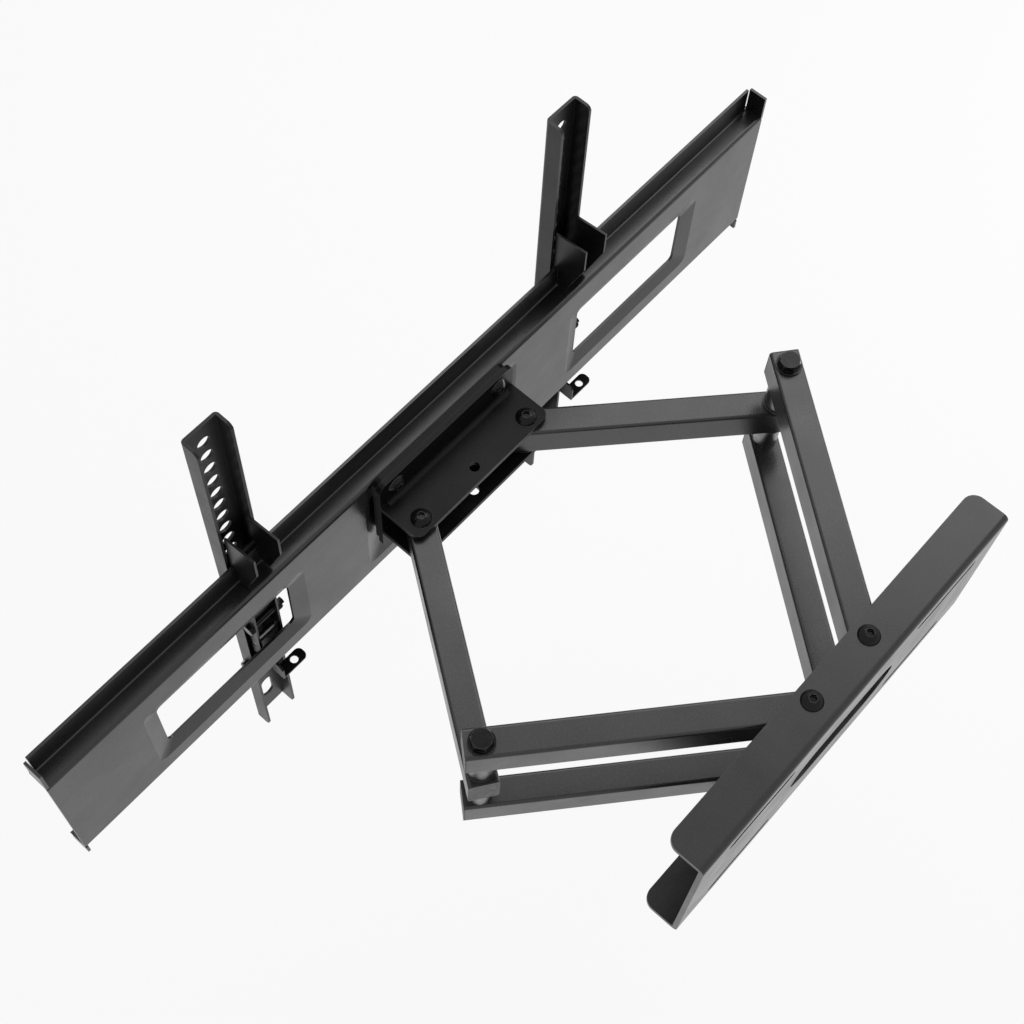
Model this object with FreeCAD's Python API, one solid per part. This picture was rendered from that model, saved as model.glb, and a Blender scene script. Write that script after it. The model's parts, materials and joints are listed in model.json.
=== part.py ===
"""Full motion wall mount for a large flat television.

A wall bracket carries two pairs of folding arms, the arms carry a head bracket, and the
head bracket carries a long pressed plate on which two tilting rails hang.

Millimetres. The origin is the centre of the wall bracket's back face. The wall is the plane
Y = 0 and the mount reaches out along -Y. X runs along the wall and Z is up.
"""
import FreeCAD
import Part
import math
import os

os.makedirs("parts", exist_ok=True)
Vec = FreeCAD.Vector

# ---------------------------------------------------------------- clearances
RUN = 0.05            # radial clearance of a shank in the bore that turns on it
GAP = 0.05            # gap between flat faces that slide on each other
FREE = 0.3            # gap between pieces that pass each other

# ---------------------------------------------------------------- wall bracket
WALL_LENGTH = 304.0
WALL_HEIGHT = 137.0
WALL_DEPTH = 29.0
WALL_SHEET = 3.5
WALL_BEND = 4.5       # outer radius of the two bends
WALL_CORNER = 9.0     # radius of the flanges' free corners
WALL_PIVOT_SPACING = 56.6
WALL_PIVOT_OUT = 18.0  # pivot line in front of the wall
LAG_SLOT_LENGTH = 62.0
LAG_SLOT_WIDTH = 9.0
LAG_SLOT_SPACING_X = 186.0
LAG_SLOT_SPACING_Z = 96.0
CABLE_OPENING_LENGTH = 104.0
CABLE_OPENING_HEIGHT = 46.0

# ---------------------------------------------------------------- arms
WALL_ARM = 196.0      # wall pivot to elbow
TV_ARM = 171.0        # elbow to head pivot
TUBE_WIDTH = 20.0
TUBE_HEIGHT = 26.0
TUBE_WALL = 1.8
TUBE_CORNER = 2.2
UPPER_TUBE_TOP = 61.5
ARM_END_AT_WALL = 9.0   # past the wall pivot, cap included
ARM_END_AT_ELBOW = 11.0
ARM_END_AT_HEAD = 10.0
CAP_PLATE = 1.2
CAP_PLUG = 1.5        # how far a cap reaches into its tube
SLEEVE_WALL = 1.2
OPEN_PIVOT_PLAY = 1.9  # extra radius at the one pivot that closes the linkage

# ---------------------------------------------------------------- head position at rest
HEAD_X = 27.7
HEAD_Y = -286.5

# ---------------------------------------------------------------- head bracket
HEAD_PIVOT_SPACING = 102.4
HEAD_LENGTH = 128.0
HEAD_HEIGHT = 37.0
HEAD_SHEET = 4.0
HEAD_FRONT = 9.7      # flange edge in front of the pivot line, towards the wall
HEAD_WEB_FRONT = -24.0
HEAD_WEB_TOP = 43.0
HEAD_WEB_BOTTOM = -40.0
HEAD_CORNER = 6.0
HEAD_BEND = 4.0       # inside radius where each flange turns into the web
HEAD_HOLE_RADIUS = 3.7
WEB_BOLT_SPACING = 98.0
WEB_BOLT_TOP = 32.5
WEB_BOLT_BOTTOM = -31.0

# ---------------------------------------------------------------- television plate
PLATE_LENGTH = 680.0
PLATE_SHIFT = -4.0    # plate centre from the head bracket's centre
PLATE_SHEET = 2.0
PLATE_BEND = 3.2      # outside radius of the plate's folds
PLATE_FACE = -32.5    # the side that faces the wall, from the head pivot line
PLATE_TOP = 39.0
PLATE_BOTTOM = -85.0
LEDGE_DEPTH = 13.9
LIP_HEIGHT = 21.0
FLAP_GAP = 1.2
LOWER_FLAP = 9.0      # the lower end flaps stop short of the lip's edge
WINDOW_CENTRE = 200.5
WINDOW_LENGTH = 139.0  # outline of the dished rim
WINDOW_TOP = 14.0
WINDOW_BOTTOM = -67.0
RECESS_LENGTH = 148.0
RECESS_TOP = 25.0
RECESS_BOTTOM = -71.0
RIM_WIDTH = 12.0
RIM_DEPTH = 3.3
RIM_CORNER = 7.0

# ---------------------------------------------------------------- rails
RAIL_LENGTH = 426.0
RAIL_TOP = 201.0
RAIL_WIDTH = 27.3
RAIL_DEPTH = 13.5
RAIL_SHEET = 2.0
RAIL_CORNER = 4.0
RAIL_BACK = -63.8     # face that carries the television, from the head pivot line
RAIL_HOLE_RADIUS = 4.75
RAIL_HOLE_COUNT = 10
RAIL_HOLE_PITCH = 15.0
RAIL_FIRST_HOLE = 16.8
RAIL_SLOT_CENTRE = 391.8
RAIL_SLOT_LENGTH = 28.0
RAIL_SPACING = 300.0
RAIL_PAIR_CENTRE = 6.8  # middle of the two rails from the head bracket's centre

# ---------------------------------------------------------------- tilt brackets and locks
TILT_SHEET = 1.5
TILT_WIDTH = 21.2
TILT_FREE_EDGE = -40.5
TILT_WEB_ABOVE_LIP = 5.0
HOOK_FRONT = -24.5
HOOK_TOP = 98.0
HOOK_NOSE = 78.0
TILT_PIVOT_Y = -54.5
TILT_PIVOT_Z = -110.0
TILT_RANGE = 10.0
GUIDE_Y = -46.5
GUIDE_Z = -62.0
GUIDE_RADIUS = 2.5
TIE_Y = -45.0
TIE_Z = -33.0
TIE_RADIUS = 2.5
LOCK_REACH = -31.0
LOCK_TAB_LENGTH = 24.0
LOCK_BAR = 7.5
LOCK_PRONG = 9.0
LOCK_TAB_BACK = 4.0   # from the prong's back edge to the tab's
LOCK_HOLE_RADIUS = 3.0

# ---------------------------------------------------------------- fasteners
M8_RADIUS = 4.0
M8_HEX = 13.0
M8_HEX_HEAD = 5.3
M8_NUT = 6.8
M8_BUTTON_RADIUS = 7.4
M8_BUTTON_HEIGHT = 4.7
M8_SOCKET = 5.0
WEB_BUTTON_RADIUS = 6.6
WEB_BUTTON_HEIGHT = 4.2
M8_WASHER_RADIUS = 8.75
M8_WASHER = 1.6
M6_RADIUS = 3.0
M6_HEX = 10.0
M6_HEAD = 4.0
M6_NUT = 5.0
M5_HEX = 8.0
M5_HEAD = 3.5
M5_NUT = 4.0
THREAD_END = 2.5      # bolt end past its nut
SPACER_RADIUS = 8.6
THRUST_RADIUS = 9.6
THRUST = 1.4

# ---------------------------------------------------------------- worked out
WALL_FLANGE_IN = WALL_HEIGHT / 2 - WALL_SHEET
HEAD_FLANGE_OUT = HEAD_HEIGHT / 2
HEAD_FLANGE_IN = HEAD_FLANGE_OUT - HEAD_SHEET
TV_ARM_TOP = HEAD_FLANGE_IN - THRUST - GAP
UPPER_TUBE_BOTTOM = UPPER_TUBE_TOP - TUBE_HEIGHT
TV_TUBE_HEIGHT = 2 * TV_ARM_TOP
PLATE_BACK = PLATE_FACE - PLATE_SHEET
LIP_FRONT = PLATE_FACE - LEDGE_DEPTH
LIP_BACK = LIP_FRONT - PLATE_SHEET
LIP_TOP = PLATE_TOP + LIP_HEIGHT
LIP_BOTTOM = PLATE_BOTTOM - LIP_HEIGHT
HEAD_WEB_BACK = HEAD_WEB_FRONT - HEAD_SHEET
RAIL_EDGE = RAIL_BACK + RAIL_DEPTH
RAIL_WEB_FRONT = RAIL_BACK + RAIL_SHEET
RAIL_BOTTOM = RAIL_TOP - RAIL_LENGTH
TILT_WEB_BACK = RAIL_EDGE + 0.2
TILT_WEB_FRONT = TILT_WEB_BACK + TILT_SHEET


# ---------------------------------------------------------------- shapes
def box(x0, x1, y0, y1, z0, z1):
    return Part.makeBox(x1 - x0, y1 - y0, z1 - z0, Vec(x0, y0, z0))


def upright(radius, x, y, z0, z1):
    return Part.makeCylinder(radius, z1 - z0, Vec(x, y, z0), Vec(0, 0, 1))


def across(radius, x0, x1, y, z):
    return Part.makeCylinder(radius, x1 - x0, Vec(x0, y, z), Vec(1, 0, 0))


def outward(radius, x, z, y0, y1):
    return Part.makeCylinder(radius, y1 - y0, Vec(x, y0, z), Vec(0, 1, 0))


def ring(outer, inner, x, y, z0, z1):
    return upright(outer, x, y, z0, z1).cut(upright(inner, x, y, z0 - 1, z1 + 1))


def polygon_x(points, x0, x1):
    """A prism along X over points given as (y, z)."""
    wire = Part.makePolygon([Vec(x0, y, z) for y, z in points + points[:1]])
    return Part.Face(wire).extrude(Vec(x1 - x0, 0, 0))


def hexagon(across_flats, base, direction, height):
    """A hexagonal prism that starts at base and grows along direction, a row axis."""
    radius = across_flats / math.sqrt(3)
    corners = []
    for i in range(7):
        a = math.radians(60 * i)
        if abs(direction.z) > 0.5:
            corners.append(base + Vec(radius * math.cos(a), radius * math.sin(a), 0))
        elif abs(direction.x) > 0.5:
            corners.append(base + Vec(0, radius * math.cos(a), radius * math.sin(a)))
        else:
            corners.append(base + Vec(radius * math.cos(a), 0, radius * math.sin(a)))
    solid = Part.Face(Part.makePolygon(corners)).extrude(direction * height)
    # the outer face's points are turned off, as on a forged head
    turned = Part.makeCone(radius * 1.25, radius * 0.86, height, base, direction)
    return solid.common(turned)


def rounded_wire(x0, x1, z0, z1, radius, y):
    """A rounded rectangle in the plane Y = y."""
    r = radius
    c45 = r * math.cos(math.radians(45))
    corners = [(x1 - r, z1 - r, 0), (x0 + r, z1 - r, 90), (x0 + r, z0 + r, 180), (x1 - r, z0 + r, 270)]
    arcs = []
    for cx, cz, start in corners:
        s, m, e = (math.radians(start + d) for d in (0, 45, 90))
        arcs.append([Vec(cx + r * math.cos(t), y, cz + r * math.sin(t)) for t in (s, m, e)])
    edges = []
    for i, arc in enumerate(arcs):
        edges.append(Part.Arc(*arc).toShape())
        edges.append(Part.LineSegment(arc[2], arcs[(i + 1) % 4][0]).toShape())
    return Part.Wire(edges)


def slot_x(length, width, x, z, y0, y1):
    """A slot along X, cut along Y."""
    wire = rounded_wire(x - length / 2, x + length / 2, z - width / 2, z + width / 2, width / 2 - 0.001, y0)
    return Part.Face(wire).extrude(Vec(0, y1 - y0, 0))


def slot_z(length, width, x, z, y0, y1):
    """A slot along Z, cut along Y."""
    wire = rounded_wire(x - width / 2, x + width / 2, z - length / 2, z + length / 2, width / 2 - 0.001, y0)
    return Part.Face(wire).extrude(Vec(0, y1 - y0, 0))


def round_edges(solid, radius, wanted):
    edges = [e for e in solid.Edges if wanted(e)]
    return solid.makeFillet(radius, edges)


def runs_along(edge, axis):
    a = edge.Vertexes[0].Point
    b = edge.Vertexes[-1].Point
    d = b - a
    return d.Length > 1e-6 and abs(abs(d.normalize().dot(axis)) - 1) < 1e-6


def save(name, solids):
    shape = solids[0] if len(solids) == 1 else Part.makeCompound(solids)
    shape.exportStep("parts/" + name + ".step")


def clean(shape):
    """The one solid that a cut or a join leaves."""
    shape = shape.removeSplitter()
    return shape.Solids[0]


# ---------------------------------------------------------------- fasteners
def button_bolt(x, y, z_head, z_end, head_radius=M8_BUTTON_RADIUS, head_height=M8_BUTTON_HEIGHT):
    """An upright bolt with a domed socket head that sits on z_head."""
    top = z_head + head_height
    dome_radius = (head_radius ** 2 + head_height ** 2) / (2 * head_height)
    dome = Part.makeSphere(dome_radius, Vec(x, y, top - dome_radius))
    head = dome.common(upright(head_radius, x, y, z_head, z_head + 20))
    head = head.cut(upright(M8_SOCKET * 0.95, x, y, top - 0.5, z_head + 20))
    key = hexagon(M8_SOCKET, Vec(x, y, top - 2.8), Vec(0, 0, 1), 20)
    return clean(head.cut(key).fuse(upright(M8_RADIUS, x, y, z_end, z_head)))


def hex_bolt(x, y, z_head, z_end):
    """An upright hexagon bolt whose head sits on z_head."""
    head = hexagon(M8_HEX, Vec(x, y, z_head), Vec(0, 0, 1), M8_HEX_HEAD)
    return clean(head.fuse(upright(M8_RADIUS, x, y, z_end, z_head)))


def lower_nut(x, y, z_top, across_flats=M8_HEX, height=M8_NUT, radius=M8_RADIUS):
    """A lock nut that hangs under z_top."""
    nut = hexagon(across_flats, Vec(x, y, z_top), Vec(0, 0, -1), height)
    return nut.cut(upright(radius, x, y, z_top - height - 1, z_top + 1))


def cross_bolt(radius, flats, head, x_head, x_end, y, z):
    """A bolt along X whose head sits against x_head, on its +X side."""
    hexagonal = hexagon(flats, Vec(x_head, y, z), Vec(1, 0, 0), head)
    return clean(hexagonal.fuse(across(radius, x_end, x_head, y, z)))


def cross_nut(radius, flats, height, x_seat, y, z):
    """A nut on a bolt along X, on the -X side of x_seat."""
    nut = hexagon(flats, Vec(x_seat, y, z), Vec(-1, 0, 0), height)
    return nut.cut(across(radius, x_seat - height - 1, x_seat + 1, y, z))


# ---------------------------------------------------------------- linkage at rest
def elbow(wall_pivot, head_pivot, side):
    """Where the two arms of one side meet: side is 1 on +X and -1 on -X."""
    span = head_pivot - wall_pivot
    reach = span.Length
    bend = math.acos((WALL_ARM ** 2 + reach ** 2 - TV_ARM ** 2) / (2 * WALL_ARM * reach))
    heading = math.atan2(span.y, span.x) + side * bend
    return wall_pivot + Vec(math.cos(heading), math.sin(heading), 0) * WALL_ARM


def along(start, end):
    """Placement that carries local +X from start towards end."""
    d = end - start
    turn = FreeCAD.Rotation(Vec(0, 0, 1), math.degrees(math.atan2(d.y, d.x)))
    return FreeCAD.Placement(start, turn)


SIDES = {"left": 1, "right": -1}
WALL_PIVOT = {n: Vec(s * WALL_PIVOT_SPACING / 2, -WALL_PIVOT_OUT, 0) for n, s in SIDES.items()}
HEAD_PIVOT = {n: Vec(HEAD_X + s * HEAD_PIVOT_SPACING / 2, HEAD_Y, 0) for n, s in SIDES.items()}
ELBOW = {n: elbow(WALL_PIVOT[n], HEAD_PIVOT[n], s) for n, s in SIDES.items()}
HEAD_ORIGIN = Vec(HEAD_X, HEAD_Y, 0)


def on_head(solids):
    """Moves solids from the head's own axes, with its pivot line on X, to the row frame."""
    return [s.translated(HEAD_ORIGIN) for s in solids]


# ---------------------------------------------------------------- wall bracket
def wall_bracket():
    half_x = WALL_LENGTH / 2
    half_z = WALL_HEIGHT / 2
    outer = box(-half_x, half_x, -WALL_DEPTH, 0, -half_z, half_z)
    outer = round_edges(outer, WALL_BEND, lambda e: runs_along(e, Vec(1, 0, 0)) and e.CenterOfMass.y > -1)
    inner = box(-half_x - 1, half_x + 1, -WALL_DEPTH - 1, -WALL_SHEET, -WALL_FLANGE_IN, WALL_FLANGE_IN)
    inner = round_edges(inner, WALL_BEND - WALL_SHEET,
                        lambda e: runs_along(e, Vec(1, 0, 0)) and e.CenterOfMass.y > -WALL_SHEET - 1)
    channel = outer.cut(inner)
    channel = round_edges(channel, WALL_CORNER,
                          lambda e: runs_along(e, Vec(0, 0, 1)) and e.CenterOfMass.y < -WALL_DEPTH + 1)
    for x in (-LAG_SLOT_SPACING_X / 2, LAG_SLOT_SPACING_X / 2):
        for z in (-LAG_SLOT_SPACING_Z / 2, LAG_SLOT_SPACING_Z / 2):
            channel = channel.cut(slot_x(LAG_SLOT_LENGTH, LAG_SLOT_WIDTH, x, z, -WALL_SHEET - 1, 1))
    channel = channel.cut(slot_x(CABLE_OPENING_LENGTH, CABLE_OPENING_HEIGHT, 0, 0, -WALL_SHEET - 1, 1))
    for pivot in WALL_PIVOT.values():
        channel = channel.cut(upright(M8_RADIUS + RUN, pivot.x, pivot.y, -half_z - 1, half_z + 1))
    return clean(channel)


def wall_hardware():
    top = WALL_HEIGHT / 2
    bolts, nuts, washers, spacers = [], [], [], []
    for pivot in WALL_PIVOT.values():
        x, y = pivot.x, pivot.y
        bolts.append(button_bolt(x, y, top, -top - M8_WASHER - M8_NUT - THREAD_END))
        nuts.append(lower_nut(x, y, -top - M8_WASHER))
        nuts.append(ring(M8_WASHER_RADIUS, M8_RADIUS, x, y, -top - M8_WASHER, -top))
        hole = M8_RADIUS + RUN
        washers.append(ring(THRUST_RADIUS, hole, x, y, UPPER_TUBE_TOP + GAP, WALL_FLANGE_IN))
        washers.append(ring(THRUST_RADIUS, hole, x, y, -WALL_FLANGE_IN, -UPPER_TUBE_TOP - GAP))
        inside = UPPER_TUBE_BOTTOM - GAP
        spacers.append(ring(SPACER_RADIUS, hole, x, y, -inside, inside))
    save("wall_pivot_bolts", bolts)
    save("wall_pivot_nuts", nuts)
    save("wall_pivot_washers", washers)
    save("wall_pivot_spacers", spacers)


# ---------------------------------------------------------------- arms
def arm_tube(length, start, end, bottom, top, bores):
    """A rectangular tube along X, from start before the first pivot to end past the second."""
    half = TUBE_WIDTH / 2
    outer = box(-start, length + end, -half, half, bottom, top)
    outer = round_edges(outer, TUBE_CORNER, lambda e: runs_along(e, Vec(1, 0, 0)))
    inner = box(-start - 1, length + end + 1, -half + TUBE_WALL, half - TUBE_WALL,
                bottom + TUBE_WALL, top - TUBE_WALL)
    tube = outer.cut(inner)
    for x, radius in bores:
        tube = tube.cut(upright(radius, x, 0, bottom - 1, top + 1))
    return clean(tube)


def end_cap(x, inward, bottom, top):
    """A moulded cap on the tube end at x, whose plug points along inward, 1 or -1."""
    half = TUBE_WIDTH / 2
    plate = box(min(x, x - inward * CAP_PLATE), max(x, x - inward * CAP_PLATE), -half, half, bottom, top)
    plate = round_edges(plate, TUBE_CORNER, lambda e: runs_along(e, Vec(1, 0, 0)))
    fit = TUBE_WALL + RUN
    plug = box(min(x, x + inward * CAP_PLUG), max(x, x + inward * CAP_PLUG),
               -half + fit, half - fit, bottom + fit, top - fit)
    return clean(plate.fuse(plug))


def arm(length, start, end, levels, bores):
    """Tubes, caps and crush sleeves of one arm in its own axes, +X from pivot to pivot."""
    tubes, caps, sleeves = [], [], []
    for bottom, top in levels:
        tubes.append(arm_tube(length, start - CAP_PLATE, end - CAP_PLATE, bottom, top, bores))
        caps.append(end_cap(-start + CAP_PLATE, 1, bottom, top))
        caps.append(end_cap(length + end - CAP_PLATE, -1, bottom, top))
        for x, radius in bores:
            sleeves.append(ring(radius + SLEEVE_WALL, radius, x, 0, bottom + TUBE_WALL, top - TUBE_WALL))
    return tubes, caps, sleeves


def wall_arm(side):
    levels = [(UPPER_TUBE_BOTTOM, UPPER_TUBE_TOP), (-UPPER_TUBE_TOP, -UPPER_TUBE_BOTTOM)]
    bore = M8_RADIUS + RUN
    tubes, caps, sleeves = arm(WALL_ARM, ARM_END_AT_WALL, ARM_END_AT_ELBOW, levels,
                               [(0, bore), (WALL_ARM, bore)])
    place = along(WALL_PIVOT[side], ELBOW[side]).toMatrix()
    put = lambda solids: [s.transformed(place) for s in solids]
    save(side + "_upper_tube", put(tubes[:1]))
    save(side + "_lower_tube", put(tubes[1:]))
    save(side + "_wall_arm_caps", put(caps))
    save(side + "_wall_arm_sleeves", put(sleeves))

    x, y = ELBOW[side].x, ELBOW[side].y
    top = UPPER_TUBE_TOP
    save(side + "_elbow_bolt", [hex_bolt(x, y, top + M8_WASHER, -top - M8_WASHER - M8_NUT - THREAD_END)])
    save(side + "_elbow_nut", [lower_nut(x, y, -top - M8_WASHER)])
    save(side + "_elbow_washers", [ring(M8_WASHER_RADIUS, bore, x, y, top, top + M8_WASHER),
                                   ring(M8_WASHER_RADIUS, bore, x, y, -top - M8_WASHER, -top)])
    low = TV_ARM_TOP + THRUST + GAP
    save(side + "_elbow_spacers", [ring(SPACER_RADIUS, bore, x, y, low, UPPER_TUBE_BOTTOM),
                                   ring(SPACER_RADIUS, bore, x, y, -UPPER_TUBE_BOTTOM, -low)])


def tv_arm(side):
    """The single arm from the head pivot to the elbow, with its thrust washers."""
    bore = M8_RADIUS + RUN
    head_bore = bore + (OPEN_PIVOT_PLAY if side == "right" else 0)
    tubes, caps, sleeves = arm(TV_ARM, ARM_END_AT_HEAD, ARM_END_AT_ELBOW, [(-TV_ARM_TOP, TV_ARM_TOP)],
                               [(0, head_bore), (TV_ARM, bore)])
    washers = []
    for x, radius in ((0, head_bore), (TV_ARM, bore)):
        washers.append(ring(THRUST_RADIUS, radius, x, 0, TV_ARM_TOP, TV_ARM_TOP + THRUST))
        washers.append(ring(THRUST_RADIUS, radius, x, 0, -TV_ARM_TOP - THRUST, -TV_ARM_TOP))
    place = along(HEAD_PIVOT[side], ELBOW[side]).toMatrix()
    for name, solids in (("_tv_arm", tubes), ("_tv_arm_caps", caps), ("_tv_arm_sleeves", sleeves),
                         ("_tv_arm_washers", washers)):
        save(side + name, [s.transformed(place) for s in solids])


# ---------------------------------------------------------------- head
def head_bracket():
    half = HEAD_LENGTH / 2
    web = box(-half, half, HEAD_WEB_BACK, HEAD_WEB_FRONT, HEAD_WEB_BOTTOM, HEAD_WEB_TOP)
    web = round_edges(web, HEAD_CORNER, lambda e: runs_along(e, Vec(0, 1, 0)))
    for z in (HEAD_FLANGE_IN, -HEAD_FLANGE_OUT):
        flange = box(-half, half, HEAD_WEB_FRONT, HEAD_FRONT, z, z + HEAD_SHEET)
        flange = round_edges(flange, HEAD_CORNER,
                             lambda e: runs_along(e, Vec(0, 0, 1)) and e.CenterOfMass.y > HEAD_FRONT - 1)
        web = web.fuse(flange)
        outer = z + HEAD_SHEET if z > 0 else z
        web = web.fuse(bend(outer, 1 if z > 0 else -1, -half + HEAD_CORNER, half - HEAD_CORNER))
    for x in (-HEAD_PIVOT_SPACING / 2, HEAD_PIVOT_SPACING / 2):
        web = web.cut(upright(M8_RADIUS + RUN, x, 0, -HEAD_FLANGE_OUT - 1, HEAD_FLANGE_OUT + 1))
    web = web.cut(upright(HEAD_HOLE_RADIUS, 0, 0, -HEAD_FLANGE_OUT - 1, HEAD_FLANGE_OUT + 1))
    for x, z in web_bolt_places():
        web = web.cut(outward(M8_RADIUS, x, z, HEAD_WEB_BACK - 1, HEAD_WEB_FRONT + 1))
    return clean(web)


def bend(level, sign, x0, x1):
    """The rounded inside corner between a flange's outer face and the web."""
    r = HEAD_BEND
    corner = Vec(x0, HEAD_WEB_FRONT, level)
    on_flange = corner + Vec(0, r, 0)
    on_web = corner + Vec(0, 0, sign * r)
    centre = corner + Vec(0, r, sign * r)
    middle = centre + Vec(0, -r, -sign * r) * math.sqrt(0.5)
    edges = [
        Part.LineSegment(corner, on_flange).toShape(),
        Part.Arc(on_flange, middle, on_web).toShape(),
        Part.LineSegment(on_web, corner).toShape(),
    ]
    return Part.Face(Part.Wire(edges)).extrude(Vec(x1 - x0, 0, 0))


def web_bolt_places():
    half = WEB_BOLT_SPACING / 2
    return [(x, z) for x in (-half, half) for z in (WEB_BOLT_TOP, WEB_BOLT_BOTTOM)]


def stiffener_plate():
    """The flat plate between the head bracket's web and the television plate's face."""
    half = HEAD_LENGTH / 2 - 2
    plate = box(-half, half, PLATE_FACE, HEAD_WEB_BACK, HEAD_WEB_BOTTOM, HEAD_WEB_TOP - 1)
    plate = round_edges(plate, HEAD_CORNER, lambda e: runs_along(e, Vec(0, 1, 0)))
    for x, z in web_bolt_places():
        plate = plate.cut(outward(M8_RADIUS, x, z, PLATE_FACE - 1, HEAD_WEB_BACK + 1))
    return clean(plate)


def head_hardware():
    top = HEAD_FLANGE_OUT
    bolts, nuts = [], []
    for x in (-HEAD_PIVOT_SPACING / 2, HEAD_PIVOT_SPACING / 2):
        bolts.append(button_bolt(x, 0, top, -top - M8_WASHER - M8_NUT - THREAD_END))
        nuts.append(lower_nut(x, 0, -top - M8_WASHER))
        nuts.append(ring(M8_WASHER_RADIUS, M8_RADIUS, x, 0, -top - M8_WASHER, -top))
    save("head_pivot_bolts", on_head(bolts))
    save("head_pivot_nuts", on_head(nuts))

    bolts, nuts, spacers = [], [], []
    for x, z in web_bolt_places():
        seat = HEAD_WEB_FRONT
        back = PLATE_BACK - RIM_DEPTH
        end = PLATE_BACK if z > 0 else back - M6_NUT - 1
        bolt = button_bolt(0, 0, 0, end - seat, head_radius=WEB_BUTTON_RADIUS, head_height=WEB_BUTTON_HEIGHT)
        bolt = bolt.rotated(Vec(0, 0, 0), Vec(1, 0, 0), -90)
        bolts.append(bolt.translated(Vec(x, seat, z)))
        if z < 0:
            nut = hexagon(M8_HEX, Vec(x, back, z), Vec(0, -1, 0), M6_NUT)
            nuts.append(nut.cut(outward(M8_RADIUS, x, z, back - M6_NUT - 1, back + 1)))
            ring_body = outward(M8_WASHER_RADIUS, x, z, PLATE_FACE - RIM_DEPTH, PLATE_FACE)
            spacers.append(ring_body.cut(outward(M8_RADIUS, x, z, back - 9, PLATE_FACE + 1)))
    save("head_web_bolts", on_head(bolts))
    save("head_web_nuts", on_head(nuts + spacers))


# ---------------------------------------------------------------- television plate
def dish(x0, x1, z0, z1, open_centre):
    """A pressed rim that steps back from the face; open_centre leaves a window inside it."""
    face, back, w = PLATE_FACE, PLATE_BACK, RIM_WIDTH
    inner_corner = RIM_CORNER * 0.6
    outline = [rounded_wire(x0, x1, z0, z1, RIM_CORNER, y) for y in (face, back)]
    floor = [rounded_wire(x0 + w, x1 - w, z0 + w, z1 - w, inner_corner, y - RIM_DEPTH) for y in (face, back)]
    hollow = Part.makeLoft([outline[0], floor[0]], True, True)
    wall = Part.makeLoft([outline[1], floor[1]], True, True)
    slab = Part.Face(outline[0]).extrude(Vec(0, back - face, 0))
    pressed = slab.fuse(wall).cut(hollow)
    if open_centre:
        pressed = pressed.cut(Part.Face(floor[0]).extrude(Vec(0, -RIM_DEPTH - 2 * PLATE_SHEET, 0)))
    return slab, pressed


def plate_section():
    """The plate's folded section as (y, z), from the upper lip round the face to the lower lip."""
    t = PLATE_SHEET
    return [
        (LIP_BACK, LIP_TOP), (LIP_FRONT, LIP_TOP), (LIP_FRONT, PLATE_TOP), (PLATE_FACE, PLATE_TOP),
        (PLATE_FACE, PLATE_BOTTOM), (LIP_FRONT, PLATE_BOTTOM), (LIP_FRONT, LIP_BOTTOM),
        (LIP_BACK, LIP_BOTTOM),
        (LIP_BACK, PLATE_BOTTOM + t), (PLATE_BACK, PLATE_BOTTOM + t), (PLATE_BACK, PLATE_TOP - t),
        (LIP_BACK, PLATE_TOP - t),
    ]


def is_fold(edge, corners):
    """Whether a long edge of the section lies at one of the corners, given as (y, z)."""
    if not runs_along(edge, Vec(1, 0, 0)):
        return False
    at = edge.CenterOfMass
    return any(abs(at.y - y) < 0.01 and abs(at.z - z) < 0.01 for y, z in corners)


def tv_plate():
    half = PLATE_LENGTH / 2
    t = PLATE_SHEET
    plate = polygon_x(plate_section(), -half, half)
    outside = [(PLATE_FACE, PLATE_TOP), (PLATE_FACE, PLATE_BOTTOM),
               (LIP_BACK, PLATE_TOP - t), (LIP_BACK, PLATE_BOTTOM + t)]
    inside = [(LIP_FRONT, PLATE_TOP), (LIP_FRONT, PLATE_BOTTOM),
              (PLATE_BACK, PLATE_TOP - t), (PLATE_BACK, PLATE_BOTTOM + t)]
    plate = round_edges(plate, PLATE_BEND, lambda e: is_fold(e, outside))
    plate = round_edges(plate, PLATE_BEND - t, lambda e: is_fold(e, inside))
    for x0, x1, z0, z1, open_centre in plate_rims():
        slab, pressed = dish(x0, x1, z0, z1, open_centre)
        plate = plate.cut(slab).fuse(pressed)
    for sign, level, lip in ((1, PLATE_TOP, LIP_TOP), (-1, PLATE_BOTTOM, LIP_BOTTOM)):
        flap = lip if sign > 0 else level - LOWER_FLAP
        for end in (-1, 1):
            tip, root = end * half, end * (half - t)
            notch = end * (half - t - FLAP_GAP)
            plate = plate.cut(box(min(tip, notch), max(tip, notch), LIP_BACK - 1, LIP_FRONT + PLATE_BEND - t,
                                  min(level, lip + sign), max(level, lip + sign)))
            plate = plate.fuse(box(min(tip, root), max(tip, root), LIP_FRONT, PLATE_FACE,
                                   min(level, flap), max(level, flap)))
    for z in (WEB_BOLT_TOP, WEB_BOLT_BOTTOM):
        for x in (-WEB_BOLT_SPACING / 2, WEB_BOLT_SPACING / 2):
            hole = outward(M8_RADIUS, x - PLATE_SHIFT, z, PLATE_BACK - RIM_DEPTH - 1, PLATE_FACE + 1)
            plate = plate.cut(hole)
    return clean(plate).translated(Vec(PLATE_SHIFT, 0, 0))


def plate_rims():
    """Outlines of the pressed rims as (x0, x1, z0, z1, whether the middle is open)."""
    rims = []
    for centre in (-WINDOW_CENTRE, WINDOW_CENTRE):
        half = WINDOW_LENGTH / 2
        rims.append((centre - half, centre + half, WINDOW_BOTTOM, WINDOW_TOP, True))
    rims.append((-RECESS_LENGTH / 2, RECESS_LENGTH / 2, RECESS_BOTTOM, RECESS_TOP, False))
    return rims


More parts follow.
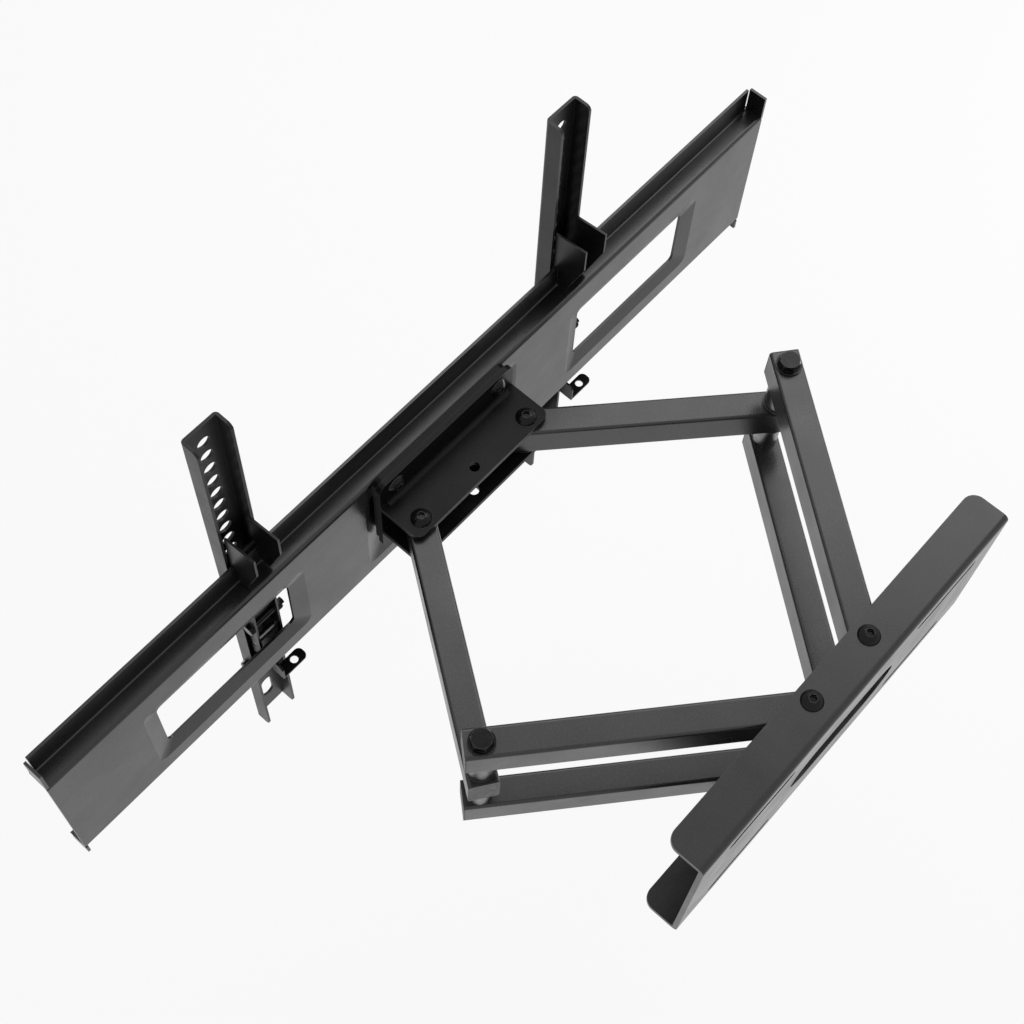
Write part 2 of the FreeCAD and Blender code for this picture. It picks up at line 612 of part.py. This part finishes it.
# ---------------------------------------------------------------- rails
def rail():
    half = RAIL_WIDTH / 2
    t = RAIL_SHEET
    outer = box(-half, half, RAIL_BACK, RAIL_EDGE, RAIL_BOTTOM, RAIL_TOP)
    outer = round_edges(outer, t * 1.4,
                        lambda e: runs_along(e, Vec(0, 0, 1)) and e.CenterOfMass.y < RAIL_EDGE - 1)
    inner = box(-half + t, half - t, RAIL_WEB_FRONT, RAIL_EDGE + 1, RAIL_BOTTOM - 1, RAIL_TOP + 1)
    channel = outer.cut(inner)
    channel = round_edges(channel, RAIL_CORNER,
                          lambda e: runs_along(e, Vec(1, 0, 0)) and e.CenterOfMass.y > RAIL_EDGE - 0.5)
    back, front = RAIL_BACK - 1, RAIL_WEB_FRONT + 1
    for i in range(RAIL_HOLE_COUNT):
        z = RAIL_TOP - RAIL_FIRST_HOLE - i * RAIL_HOLE_PITCH
        channel = channel.cut(outward(RAIL_HOLE_RADIUS, 0, z, back, front))
    z = RAIL_TOP - RAIL_SLOT_CENTRE
    channel = channel.cut(slot_z(RAIL_SLOT_LENGTH, 2 * RAIL_HOLE_RADIUS, 0, z, back, front))
    channel = channel.cut(across(M6_RADIUS + RUN, -half - 1, half + 1, TILT_PIVOT_Y, TILT_PIVOT_Z))
    for z in ear_rivet_heights():
        channel = channel.cut(outward(EAR_RIVET_RADIUS, 0, z, back, front))
    return clean(channel)


EAR_HALF_WIDTH = TILT_WIDTH / 2 - TILT_SHEET - FREE
EAR_REACH = GUIDE_Y + GUIDE_RADIUS + 1.5
EAR_HALF_HEIGHT = 9.0
EAR_RIVET_RADIUS = 1.5
EAR_RIVET_HEAD = 2.8


def ear_rivet_heights():
    return (GUIDE_Z - EAR_HALF_HEIGHT * 0.55, GUIDE_Z + EAR_HALF_HEIGHT * 0.55)


def tilt_ear():
    """A small channel riveted inside the rail that carries the guide pin."""
    w, t = EAR_HALF_WIDTH, TILT_SHEET
    ear = box(-w, w, RAIL_WEB_FRONT, EAR_REACH, GUIDE_Z - EAR_HALF_HEIGHT, GUIDE_Z + EAR_HALF_HEIGHT)
    ear = round_edges(ear, 3.0, lambda e: runs_along(e, Vec(1, 0, 0)) and e.CenterOfMass.y > EAR_REACH - 0.5)
    ear = ear.cut(box(-w + t, w - t, RAIL_WEB_FRONT + t, EAR_REACH + 1, GUIDE_Z - 50, GUIDE_Z + 50))
    ear = ear.cut(across(GUIDE_RADIUS, -w - 1, w + 1, GUIDE_Y, GUIDE_Z))
    for z in ear_rivet_heights():
        ear = ear.cut(outward(EAR_RIVET_RADIUS, 0, z, RAIL_BACK, RAIL_WEB_FRONT + t + 1))
    return clean(ear)


def ear_rivets():
    rivets = []
    for z in ear_rivet_heights():
        inside = RAIL_WEB_FRONT + TILT_SHEET
        shank = outward(EAR_RIVET_RADIUS, 0, z, RAIL_BACK, inside)
        rivets.append(clean(shank.fuse(outward(EAR_RIVET_HEAD, 0, z, inside, inside + 1))))
    return rivets


# ---------------------------------------------------------------- tilt brackets
def tilt_side_outline():
    """Side plate as (y, z): the hook over the top lip, the plate behind the face, the pivot foot."""
    slot_front = LIP_FRONT + 0.8
    slot_top = LIP_TOP + FREE
    inner_top = PLATE_TOP - PLATE_SHEET - 6
    foot = TILT_PIVOT_Z - 5.0
    foot_back = RAIL_WEB_FRONT + 0.5
    foot_front = LIP_BACK - 0.6
    # below the pivot the rail's web swings towards the foot
    foot_relief = 5.0 * math.tan(math.radians(TILT_RANGE)) + 2 * FREE
    return [
        (TILT_WEB_BACK, HOOK_TOP - 3.2), (HOOK_FRONT, HOOK_TOP), (HOOK_FRONT, HOOK_NOSE),
        (LIP_FRONT + 8.5, PLATE_TOP + 3), (slot_front, PLATE_TOP + 3), (slot_front, slot_top),
        (TILT_WEB_FRONT, slot_top), (TILT_WEB_FRONT, inner_top), (TILT_FREE_EDGE, inner_top - 6),
        (TILT_FREE_EDGE, GUIDE_Z - 5), (foot_front, PLATE_BOTTOM + 4), (foot_front, foot),
        (foot_back + foot_relief, foot), (foot_back, TILT_PIVOT_Z + 2), (foot_back, TIE_Z - 11),
        (TILT_WEB_BACK, TIE_Z - 3),
    ]


def arc_slot():
    """The tilt slot, a ring sector about the tilt pivot that the guide pin runs in."""
    dy, dz = GUIDE_Y - TILT_PIVOT_Y, GUIDE_Z - TILT_PIVOT_Z
    radius = math.hypot(dy, dz)
    start = math.atan2(dz, dy)
    half_width = GUIDE_RADIUS + 2 * RUN
    x0, x1 = -TILT_WIDTH, TILT_WIDTH
    pivot = Vec(x0, TILT_PIVOT_Y, TILT_PIVOT_Z)
    x_axis = Vec(1, 0, 0)

    def point(r, angle):
        return pivot + Vec(0, r * math.cos(angle), r * math.sin(angle))

    end = start + math.radians(TILT_RANGE)
    middle = (start + end) / 2
    inner, outer = radius - half_width, radius + half_width
    edges = [
        Part.Arc(point(inner, start), point(inner, middle), point(inner, end)).toShape(),
        Part.LineSegment(point(inner, end), point(outer, end)).toShape(),
        Part.Arc(point(outer, end), point(outer, middle), point(outer, start)).toShape(),
        Part.LineSegment(point(outer, start), point(inner, start)).toShape(),
    ]
    slot = Part.Face(Part.Wire(edges)).extrude(x_axis * (x1 - x0))
    for angle in (start, end):
        slot = slot.fuse(Part.makeCylinder(half_width, x1 - x0, point(radius, angle), x_axis))
    return slot


def tilt_bracket():
    half = TILT_WIDTH / 2
    t = TILT_SHEET
    outline = tilt_side_outline()
    bracket = polygon_x(outline, -half, -half + t).fuse(polygon_x(outline, half - t, half))
    web = box(-half, half, TILT_WEB_BACK, TILT_WEB_FRONT, TIE_Z - 3, LIP_TOP + TILT_WEB_ABOVE_LIP)
    bracket = bracket.fuse(web).cut(arc_slot())
    bracket = bracket.cut(across(M6_RADIUS, -half - 1, half + 1, TILT_PIVOT_Y, TILT_PIVOT_Z))
    bracket = bracket.cut(across(TIE_RADIUS, -half - 1, half + 1, TIE_Y, TIE_Z))
    return clean(bracket)


def lock_plate(leaf):
    """The latch under the plate's lower lip: an upright hook with a finger tab to -X."""
    t = TILT_SHEET
    top = LIP_BOTTOM - 1.0
    bottom = top - LOCK_BAR
    prong_back = LIP_FRONT + 1.5
    prong_top = LIP_BOTTOM + LOCK_PRONG
    outline = [
        (TILT_PIVOT_Y, bottom + 2.0), (prong_back, bottom), (LOCK_REACH, bottom),
        (LOCK_REACH, prong_top - 4), (LOCK_REACH - 4, prong_top), (prong_back, prong_top),
        (prong_back, top), (TILT_PIVOT_Y, top),
    ]
    hook = polygon_x(outline, leaf - t, leaf)
    hook = hook.fuse(across(5.0, leaf - t, leaf, TILT_PIVOT_Y, TILT_PIVOT_Z))
    tab_back = prong_back + LOCK_TAB_BACK
    tab = box(leaf - LOCK_TAB_LENGTH, leaf, tab_back, LOCK_REACH, bottom, bottom + t)
    tab = round_edges(tab, 4.0, lambda e: runs_along(e, Vec(0, 0, 1)) and e.CenterOfMass.x < leaf - 5)
    middle = (tab_back + LOCK_REACH) / 2
    hole_x = leaf - LOCK_TAB_LENGTH * 0.62
    tab = tab.cut(upright(LOCK_HOLE_RADIUS, hole_x, middle, bottom - 1, bottom + t + 1))
    hook = hook.fuse(tab)
    return clean(hook.cut(across(M6_RADIUS + RUN, leaf - t - 1, leaf + 1, TILT_PIVOT_Y, TILT_PIVOT_Z)))


def rail_assembly(side):
    """One rail with its tilt bracket, latch and fasteners, in its place on the plate."""
    x = RAIL_PAIR_CENTRE + SIDES[side] * RAIL_SPACING / 2
    put = lambda solids: on_head([s.translated(Vec(x, 0, 0)) for s in solids])
    save(side + "_rail", put([rail()]))
    save(side + "_tilt_ear", put([tilt_ear()]))
    save(side + "_ear_rivets", put(ear_rivets()))
    pin_half = TILT_WIDTH / 2 - 0.2
    save(side + "_guide_pin", put([across(GUIDE_RADIUS, -pin_half, pin_half, GUIDE_Y, GUIDE_Z)]))
    save(side + "_tilt_bracket", put([tilt_bracket()]))
    half = TILT_WIDTH / 2
    tie_end = -half - M5_NUT - 2.5
    save(side + "_tie_bolt", put([cross_bolt(TIE_RADIUS, M5_HEX, M5_HEAD, half, tie_end, TIE_Y, TIE_Z)]))
    save(side + "_tie_nut", put([cross_nut(TIE_RADIUS, M5_HEX, M5_NUT, -half, TIE_Y, TIE_Z)]))
    seat = RAIL_WIDTH / 2 + GAP
    pivot_end = -seat - M6_NUT - 1.5
    save(side + "_tilt_bolt", put([cross_bolt(M6_RADIUS, M6_HEX, M6_HEAD, seat, pivot_end,
                                              TILT_PIVOT_Y, TILT_PIVOT_Z)]))
    save(side + "_tilt_nut", put([cross_nut(M6_RADIUS, M6_HEX, M6_NUT, -seat, TILT_PIVOT_Y, TILT_PIVOT_Z)]))
    save(side + "_lock_plate", put([lock_plate(4.0 if side == "left" else -2.5)]))


# ---------------------------------------------------------------- build
save("wall_bracket", [wall_bracket()])
wall_hardware()
for name in SIDES:
    wall_arm(name)
    tv_arm(name)
    rail_assembly(name)
save("head_bracket", on_head([head_bracket()]))
save("stiffener_plate", on_head([stiffener_plate()]))
save("tv_plate", on_head([tv_plate()]))
head_hardware()
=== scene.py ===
"""Full motion television wall mount: black powder-coated steel on plain white."""
import bpy
import bmesh
import json
import math
from mathutils import Matrix, Vector


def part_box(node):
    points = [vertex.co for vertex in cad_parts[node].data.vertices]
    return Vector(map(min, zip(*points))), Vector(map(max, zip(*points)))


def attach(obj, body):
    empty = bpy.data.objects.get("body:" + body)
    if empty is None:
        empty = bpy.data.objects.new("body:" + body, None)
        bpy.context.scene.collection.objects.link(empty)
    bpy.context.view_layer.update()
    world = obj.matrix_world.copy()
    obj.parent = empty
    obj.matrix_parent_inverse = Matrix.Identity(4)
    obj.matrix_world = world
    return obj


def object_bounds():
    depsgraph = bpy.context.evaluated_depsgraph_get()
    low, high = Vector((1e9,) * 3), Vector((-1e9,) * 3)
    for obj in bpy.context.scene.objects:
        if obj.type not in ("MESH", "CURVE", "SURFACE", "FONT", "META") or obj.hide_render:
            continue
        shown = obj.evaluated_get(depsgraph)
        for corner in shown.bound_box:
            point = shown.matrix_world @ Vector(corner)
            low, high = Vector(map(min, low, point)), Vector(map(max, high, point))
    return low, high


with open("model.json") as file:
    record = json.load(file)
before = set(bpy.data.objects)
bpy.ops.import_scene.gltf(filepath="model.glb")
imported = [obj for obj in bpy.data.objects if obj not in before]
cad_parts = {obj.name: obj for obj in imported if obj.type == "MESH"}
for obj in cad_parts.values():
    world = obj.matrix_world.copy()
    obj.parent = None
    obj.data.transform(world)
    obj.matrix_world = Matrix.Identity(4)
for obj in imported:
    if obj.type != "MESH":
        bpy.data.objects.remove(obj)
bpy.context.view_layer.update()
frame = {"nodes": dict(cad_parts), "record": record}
MM = 0.001


# ---------------------------------------------------------------- node helpers
class Nodes:
    """Short calls for one material's node tree."""

    def __init__(self, name):
        self.material = bpy.data.materials.new(name)
        self.material.use_nodes = True
        self.tree = self.material.node_tree
        self.tree.nodes.clear()
        self.out = self.tree.nodes.new("ShaderNodeOutputMaterial")
        self.bsdf = self.tree.nodes.new("ShaderNodeBsdfPrincipled")
        self.link(self.bsdf.outputs[0], self.out.inputs[0])
        self.coord = self.tree.nodes.new("ShaderNodeTexCoord").outputs["Object"]

    def link(self, a, b):
        self.tree.links.new(a, b)

    def put(self, **values):
        for key, value in values.items():
            self.bsdf.inputs[key.replace("_", " ")].default_value = value

    def noise(self, scale, detail=3.0, rough=0.55, stretch=None):
        node = self.tree.nodes.new("ShaderNodeTexNoise")
        node.inputs["Scale"].default_value = scale
        node.inputs["Detail"].default_value = detail
        node.inputs["Roughness"].default_value = rough
        source = self.coord
        if stretch:
            mapping = self.tree.nodes.new("ShaderNodeMapping")
            mapping.inputs["Scale"].default_value = stretch
            self.link(source, mapping.inputs["Vector"])
            source = mapping.outputs[0]
        self.link(source, node.inputs["Vector"])
        return node.outputs["Fac"]

    def remap(self, value, low, high, to_low, to_high):
        node = self.tree.nodes.new("ShaderNodeMapRange")
        node.clamp = True
        limits = {"From Min": low, "From Max": high, "To Min": to_low, "To Max": to_high}
        for socket, number in limits.items():
            node.inputs[socket].default_value = number
        self.link(value, node.inputs["Value"])
        return node.outputs["Result"]

    def math(self, kind, a, b):
        node = self.tree.nodes.new("ShaderNodeMath")
        node.operation = kind
        for socket, value in zip(node.inputs, (a, b)):
            if isinstance(value, (int, float)):
                socket.default_value = value
            else:
                self.link(value, socket)
        return node.outputs[0]

    def blend(self, factor, a, b):
        """Mixes two colours, each a plain (r, g, b) or another blend's output."""
        node = self.tree.nodes.new("ShaderNodeMix")
        node.data_type = "RGBA"
        self.link(factor, node.inputs["Factor"])
        for socket, value in ((node.inputs[6], a), (node.inputs[7], b)):
            if isinstance(value, tuple):
                socket.default_value = (*value, 1.0)
            else:
                self.link(value, socket)
        return node.outputs[2]

    def bump(self, height, strength, distance, normal=None):
        node = self.tree.nodes.new("ShaderNodeBump")
        node.inputs["Strength"].default_value = strength
        node.inputs["Distance"].default_value = distance
        self.link(height, node.inputs["Height"])
        if normal:
            self.link(normal, node.inputs["Normal"])
        return node.outputs["Normal"]

    def edges(self, radius, low, high):
        """1 on convex and concave edges within radius, 0 on flats."""
        bevel = self.tree.nodes.new("ShaderNodeBevel")
        bevel.samples = 6
        bevel.inputs["Radius"].default_value = radius
        geometry = self.tree.nodes.new("ShaderNodeNewGeometry")
        dot = self.tree.nodes.new("ShaderNodeVectorMath")
        dot.operation = "DOT_PRODUCT"
        self.link(bevel.outputs[0], dot.inputs[0])
        self.link(geometry.outputs["Normal"], dot.inputs[1])
        return self.remap(dot.outputs["Value"], high, low, 0.0, 1.0)


# ---------------------------------------------------------------- materials
def powder_coat(name, base, light, rough_low, rough_high, edge_wear_highlight_colour, speckle, gloss=0.5):
    """Cured powder on steel: fine speckle and orange peel, faint cloudiness, lighter edges that are partly wear
    and partly painted highlight.
    """
    n = Nodes(name)
    n.put(Specular_IOR_Level=gloss)
    cloud = n.remap(n.noise(14.0, 4.0), 0.35, 0.65, 0.0, 1.0)
    # Lighter rims: partly patchy wear, partly a painted highlight along each edge.
    edge_wear_and_highlight = n.math("MULTIPLY", n.edges(0.6 * MM, 0.80, 0.985), n.remap(n.noise(55.0, 4.0), 0.3, 0.6, 0.45, 1.0))
    grit = n.math("MULTIPLY", n.remap(n.noise(700.0, 2.0, 0.7), 0.50, 0.72, 0.0, 1.0), speckle)
    colour = n.blend(cloud, base, light)
    colour = n.blend(grit, colour, (0.050, 0.052, 0.050))
    colour = n.blend(edge_wear_and_highlight, colour, edge_wear_highlight_colour)
    n.link(colour, n.bsdf.inputs["Base Color"])
    dust = n.remap(n.noise(220.0, 3.0), 0.62, 0.78, 0.0, 0.06)
    rough = n.math("ADD", n.remap(n.noise(30.0, 5.0), 0.3, 0.7, rough_low, rough_high), dust)
    n.link(rough, n.bsdf.inputs["Roughness"])
    peel = n.bump(n.noise(800.0, 2.0, 0.6), 0.50, 0.05 * MM)
    n.link(n.bump(n.noise(60.0, 2.0), 0.08, 0.4 * MM, peel), n.bsdf.inputs["Normal"])
    return n.material


def plated(name, base, light, edge_wear_highlight_colour, rough_low, rough_high, metallic, gloss):
    """Plated or turned steel: patchy tone, close turned lines, edges brightened partly as wear and partly as
    painted highlight.
    """
    n = Nodes(name)
    n.put(Metallic=metallic, Specular_IOR_Level=gloss)
    # Lighter rims: a painted highlight along each edge, partly wear.
    edge_wear_and_highlight = n.edges(0.35 * MM, 0.75, 0.98)
    patch = n.remap(n.noise(160.0, 4.0), 0.35, 0.65, 0.0, 1.0)
    n.link(n.blend(edge_wear_and_highlight, n.blend(patch, base, light), edge_wear_highlight_colour), n.bsdf.inputs["Base Color"])
    n.link(n.remap(n.noise(400.0, 4.0), 0.3, 0.7, rough_low, rough_high), n.bsdf.inputs["Roughness"])
    lines = n.noise(1.0, 2.0, 0.5, (350.0, 350.0, 5200.0))
    n.link(n.bump(lines, 0.12, 0.03 * MM), n.bsdf.inputs["Normal"])
    return n.material


def moulded(name, base, light):
    """Fine-grained moulded plastic."""
    n = Nodes(name)
    n.link(n.blend(n.remap(n.noise(80.0, 3.0), 0.35, 0.65, 0.0, 1.0), base, light), n.bsdf.inputs["Base Color"])
    n.link(n.remap(n.noise(300.0, 3.0), 0.3, 0.7, 0.36, 0.50), n.bsdf.inputs["Roughness"])
    grain = n.tree.nodes.new("ShaderNodeTexVoronoi")
    grain.inputs["Scale"].default_value = 1700.0
    n.link(n.coord, grain.inputs["Vector"])
    n.link(n.bump(grain.outputs["Distance"], 0.25, 0.04 * MM), n.bsdf.inputs["Normal"])
    return n.material


SHEET = powder_coat("sheet_powder_coat", (0.0025, 0.0026, 0.0025), (0.0052, 0.0055, 0.0052), 0.24, 0.34,
                    (0.055, 0.056, 0.055), 0.18)
# A darker copy of the sheet coat: painted shade that makes the head bracket web and stiffener read black.
BRACE_PAINTED_SHADE = powder_coat("brace_coat_painted_shade", (0.0022, 0.0022, 0.0024), (0.0040, 0.0040, 0.0044), 0.34, 0.44,
                    (0.070, 0.070, 0.072), 0.10, gloss=0.12)
TUBE = powder_coat("tube_powder_coat", (0.0060, 0.0062, 0.0060), (0.0120, 0.0124, 0.0120), 0.24, 0.34,
                   (0.055, 0.056, 0.055), 0.35)
# A darker copy of the sheet coat: painted shade that makes the rail channels and tilt parts read black inside.
RAIL_PAINTED_SHADE = powder_coat("rail_coat_painted_shade", (0.0022, 0.0023, 0.0022), (0.0045, 0.0047, 0.0045), 0.34, 0.44,
                   (0.050, 0.051, 0.050), 0.12, gloss=0.30)
FASTENER = plated("black_plated_fastener", (0.003, 0.003, 0.0033), (0.008, 0.008, 0.0085),
                  (0.22, 0.22, 0.225), 0.12, 0.24, metallic=0.0, gloss=0.16)
STEEL = plated("turned_steel", (0.15, 0.15, 0.155), (0.23, 0.23, 0.235),
               (0.42, 0.42, 0.43), 0.28, 0.40, metallic=1.0, gloss=0.5)
PLASTIC = moulded("black_moulded_plastic", (0.012, 0.012, 0.0125), (0.020, 0.020, 0.0205))
WASHER = moulded("dark_washer_plastic", (0.018, 0.018, 0.019), (0.030, 0.030, 0.031))

BY_SLOT = {
    "black_powder_coat": SHEET,
    "black_zinc": FASTENER,
    "bare_steel": STEEL,
    "black_plastic": PLASTIC,
    "washer_nylon": WASHER,
}
slots = {s["node"]: s["material_slot"] for s in frame["record"]["subparts"]}
for node, obj in frame["nodes"].items():
    material = BY_SLOT[slots[node]]
    if node.endswith("_tube") or node.endswith("_tv_arm"):
        material = TUBE
    # The head bracket and stiffener take the darker coat of painted shade.
    if node in ("stiffener_plate", "head_bracket"):
        material = BRACE_PAINTED_SHADE
    # Rails and tilt parts take the darker coat of painted shade.
    if node.endswith(("_rail", "_tilt_bracket", "_lock_plate", "_tilt_ear")):
        material = RAIL_PAINTED_SHADE
    obj.data.materials.clear()
    obj.data.materials.append(material)


# ---------------------------------------------------------------- softened edges
def soften(obj, width):
    """A fine round on each sharp edge, as paint and tumbling leave."""
    bevel = obj.modifiers.new("edge_round", "BEVEL")
    bevel.width = width
    bevel.segments = 2
    bevel.limit_method = "ANGLE"
    bevel.angle_limit = math.radians(40)
    bevel.use_clamp_overlap = True
    bevel.harden_normals = False


for node in ("wall_bracket", "head_bracket", "stiffener_plate", "tv_plate", "left_rail", "right_rail",
             "left_tilt_bracket", "right_tilt_bracket", "left_lock_plate", "right_lock_plate"):
    soften(frame["nodes"][node], 0.25 * MM)
for node, obj in frame["nodes"].items():
    if node.endswith(("_elbow_bolt", "_tilt_bolt", "_tie_bolt", "_nut", "_nuts")):
        soften(obj, 0.18 * MM)


# ---------------------------------------------------------------- screw threads
M8_PITCH = 1.25 * MM
M8_CORE = 3.9 * MM       # radius that the ridge stands on
THREAD_END = 2.45 * MM   # threaded length that shows past the nut
TURN_STEPS = 20
FADE_STEPS = 8           # steps over which the ridge rises at each end
BARE = 0.6               # share of a pitch left bare at each end
SUNK = -0.10             # ridge's foot, in pitches from the core
RIDGE = ((-0.42, SUNK), (-0.06, 0.16), (0.06, 0.16), (0.42, SUNK))   # along and out, in pitches


def thread(name, x, y, z_low, body):
    """A helical ridge round the open lower end of an upright bolt."""
    mesh = bmesh.new()
    count = int((THREAD_END / M8_PITCH - BARE) * TURN_STEPS)
    rows = []
    for i in range(count + 1):
        angle = 2 * math.pi * i / TURN_STEPS
        fade = min(1.0, i / FADE_STEPS, (count - i) / FADE_STEPS)
        centre = z_low + (BARE + i / TURN_STEPS) * M8_PITCH
        row = []
        for along, out in RIDGE:
            r = M8_CORE + (out * fade + SUNK * (1 - fade)) * M8_PITCH
            height = centre + along * M8_PITCH
            row.append(mesh.verts.new((x + r * math.cos(angle), y + r * math.sin(angle), height)))
        rows.append(row)
    for a, b in zip(rows, rows[1:]):
        for k in range(len(RIDGE)):
            after = (k + 1) % len(RIDGE)
            mesh.faces.new((a[k], a[after], b[after], b[k]))
    mesh.faces.new(rows[0][::-1])
    mesh.faces.new(rows[-1])
    bmesh.ops.recalc_face_normals(mesh, faces=mesh.faces)
    data = bpy.data.meshes.new(name)
    mesh.to_mesh(data)
    mesh.free()
    for polygon in data.polygons:
        polygon.use_smooth = True
    obj = bpy.data.objects.new(name, data)
    bpy.context.scene.collection.objects.link(obj)
    data.materials.append(FASTENER)
    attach(obj, body)


joints = {j["name"]: j for j in frame["record"]["behaviour"]["joints"]}
for side in ("left", "right"):
    elbow = joints["elbow_%s_turn" % side]["pos_m"]
    elbow_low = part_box(side + "_elbow_bolt")[0][2]
    thread(side + "_elbow_thread", elbow[0], elbow[1], elbow_low, "wall_arm_" + side)
wall_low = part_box("wall_pivot_bolts")[0][2]
for side in ("left", "right"):
    pivot = joints["wall_%s_turn" % side]["pos_m"]
    thread("wall_thread_" + side, pivot[0], pivot[1], wall_low, "wall_bracket")

# ---------------------------------------------------------------- floor and light
FLOOR_DROP = 0.30    # floor below the object's lowest point
FLOOR_SIZE = 14.0
FLOOR_WHITE = 0.86   # share of plain white where the floor is seen, the rest keeps the shadow
WORLD_LIGHT = 0.55   # the world's light on the object


def seen_directly(tree):
    """1 where the camera or a reflection sees the surface, 0 for bounced light."""
    path = tree.nodes.new("ShaderNodeLightPath")
    seen = tree.nodes.new("ShaderNodeMath")
    seen.operation = "MAXIMUM"
    tree.links.new(path.outputs["Is Camera Ray"], seen.inputs[0])
    tree.links.new(path.outputs["Is Glossy Ray"], seen.inputs[1])
    return seen.outputs[0]


def stage_material():
    """White to the eye and to gloss, pale grey to bounced light; keeps a faint shadow."""
    material = bpy.data.materials.new("floor_white")
    material.use_nodes = True
    tree = material.node_tree
    tree.nodes.clear()
    out = tree.nodes.new("ShaderNodeOutputMaterial")
    matt = tree.nodes.new("ShaderNodeBsdfDiffuse")
    matt.inputs["Color"].default_value = (0.82, 0.82, 0.82, 1)
    white = tree.nodes.new("ShaderNodeEmission")
    white.inputs["Color"].default_value = (1, 1, 1, 1)
    white.inputs["Strength"].default_value = 1.0
    share = tree.nodes.new("ShaderNodeMath")
    share.operation = "MULTIPLY"
    share.inputs[1].default_value = FLOOR_WHITE
    tree.links.new(seen_directly(tree), share.inputs[0])
    mix = tree.nodes.new("ShaderNodeMixShader")
    tree.links.new(share.outputs[0], mix.inputs[0])
    tree.links.new(matt.outputs[0], mix.inputs[1])
    tree.links.new(white.outputs[0], mix.inputs[2])
    tree.links.new(mix.outputs[0], out.inputs[0])
    return material


bpy.ops.mesh.primitive_plane_add(size=FLOOR_SIZE, location=(0, 0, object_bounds()[0][2] - FLOOR_DROP))
floor = bpy.context.object
floor.name = "floor"
floor.data.materials.append(stage_material())

world = bpy.data.worlds.new("studio")
bpy.context.scene.world = world
world.use_nodes = True
tree = world.node_tree
tree.nodes.clear()
out = tree.nodes.new("ShaderNodeOutputWorld")
soft = tree.nodes.new("ShaderNodeBackground")
soft.inputs["Color"].default_value = (1, 1, 1, 1)
soft.inputs["Strength"].default_value = WORLD_LIGHT
bright = tree.nodes.new("ShaderNodeBackground")
bright.inputs["Color"].default_value = (1, 1, 1, 1)
bright.inputs["Strength"].default_value = 1.0
mix = tree.nodes.new("ShaderNodeMixShader")
tree.links.new(seen_directly(tree), mix.inputs[0])
tree.links.new(soft.outputs[0], mix.inputs[1])
tree.links.new(bright.outputs[0], mix.inputs[2])
tree.links.new(mix.outputs[0], out.inputs[0])


def lamp(name, place, target, size, power):
    """A soft rectangular lamp that faces the target; size in metres, power in watts."""
    data = bpy.data.lights.new(name, "AREA")
    data.shape = "RECTANGLE"
    data.size, data.size_y = size
    data.energy = power
    obj = bpy.data.objects.new(name, data)
    obj.location = place
    obj.rotation_euler = (Vector(target) - Vector(place)).to_track_quat("-Z", "Y").to_euler()
    bpy.context.scene.collection.objects.link(obj)


middle = (0.02, -0.2, 0.0)
lamp("top_softbox", (-0.75, -0.95, 1.35), middle, (1.1, 1.3), 9.0)
lamp("right_softbox", (-1.20, -0.05, 1.15), middle, (0.9, 1.0), 6.5)
lamp("low_strip", (-1.10, 0.10, -0.40), (-0.25, -0.32, 0.0), (0.8, 0.25), 2.5)

# ---------------------------------------------------------------- camera
PLACE = Vector((0.43345, 0.06448, 1.02717))
TARGET = Vector((0.02845, -0.25200, 0.0))
ROLL = -4.184        # degrees
LENS = 61.03         # mm, on a 36 mm sensor
camera_data = bpy.data.cameras.new("camera")
camera_data.sensor_width = 36.0
camera_data.lens = LENS
camera = bpy.data.objects.new("camera", camera_data)
bpy.context.scene.collection.objects.link(camera)
ahead = (TARGET - PLACE).normalized()
right = ahead.cross(Vector((0, 0, 1))).normalized()
above = right.cross(ahead)
roll = math.radians(ROLL)
up = above * math.cos(roll) + right * math.sin(roll)
side_axis = ahead.cross(up).normalized()
turn = Matrix((side_axis, up, -ahead)).transposed().to_4x4()
camera.matrix_world = Matrix.Translation(PLACE) @ turn
bpy.context.scene.camera = camera
bpy.context.scene.view_settings.view_transform = "Standard"
